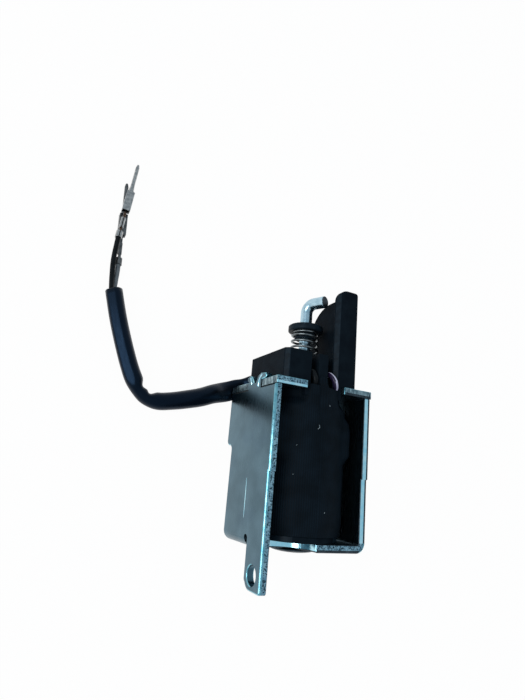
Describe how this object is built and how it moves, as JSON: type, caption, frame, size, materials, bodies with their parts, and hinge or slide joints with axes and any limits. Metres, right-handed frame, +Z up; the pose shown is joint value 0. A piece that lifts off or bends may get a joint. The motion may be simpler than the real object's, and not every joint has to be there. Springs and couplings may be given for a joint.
{
  "type": "shift lock solenoid",
  "caption": "Open-frame pull solenoid with a sprung hooked plunger, a moulded boss with a guide tower, a mounting tab and a sleeved lead with crimped pins.",
  "frame": {"origin": "On the table, below the middle of the part without its lead", "axes": "+Y along the plunger towards the hook, seen from above; +Z up, out of the open front as the part lies on its back; X to the right across the yoke"},
  "size_m": [0.0631, 0.1101, 0.0289],
  "materials": {
    "zinc_plate": "bright blue-passivated zinc plating",
    "black_moulding": "satin glass-filled nylon",
    "coil_tape": "black acetate cloth tape",
    "copper": "enamelled copper",
    "brass": "drawn brass",
    "steel": "turned steel",
    "damper_rubber": "matt rubber",
    "rod_plate": "bright zinc-plated wire",
    "spring_steel": "plated spring wire",
    "black_insulation": "satin vinyl",
    "purple_insulation": "satin vinyl",
    "grey_insulation": "satin vinyl",
    "sleeve_vinyl": "soft glossy vinyl tube",
    "tin_plate": "tinned brass"
  },
  "bodies": {
    "frame": {"yoke_frame": "zinc_plate", "top_plate": "zinc_plate", "bobbin": "black_moulding", "coil_winding": "copper", "coil_tape": "coil_tape", "splice_left": "copper", "splice_right": "copper", "guide_tube": "brass", "fixed_core": "steel", "core_washer": "damper_rubber", "stop_washer": "damper_rubber", "return_spring": "spring_steel", "lead_black": "black_insulation", "lead_purple": "purple_insulation", "cable_sleeve": "sleeve_vinyl", "tail_black": "black_insulation", "tail_grey": "grey_insulation", "terminal_upper": "tin_plate", "terminal_lower": "tin_plate", "strand_ends": "copper"},
    "plunger": {"armature": "steel", "hook_rod": "rod_plate", "spring_collar": "black_moulding"}
  },
  "joints": [
    {"name": "plunger_slide", "type": "slide", "parent": "frame", "child": "plunger", "axis": [0, -0.9903, -0.1391], "range_m": [0, 0.0036], "stiffness_N_per_m": 300, "springref_m": -0.004, "deforming": ["return_spring"]}
  ]
}
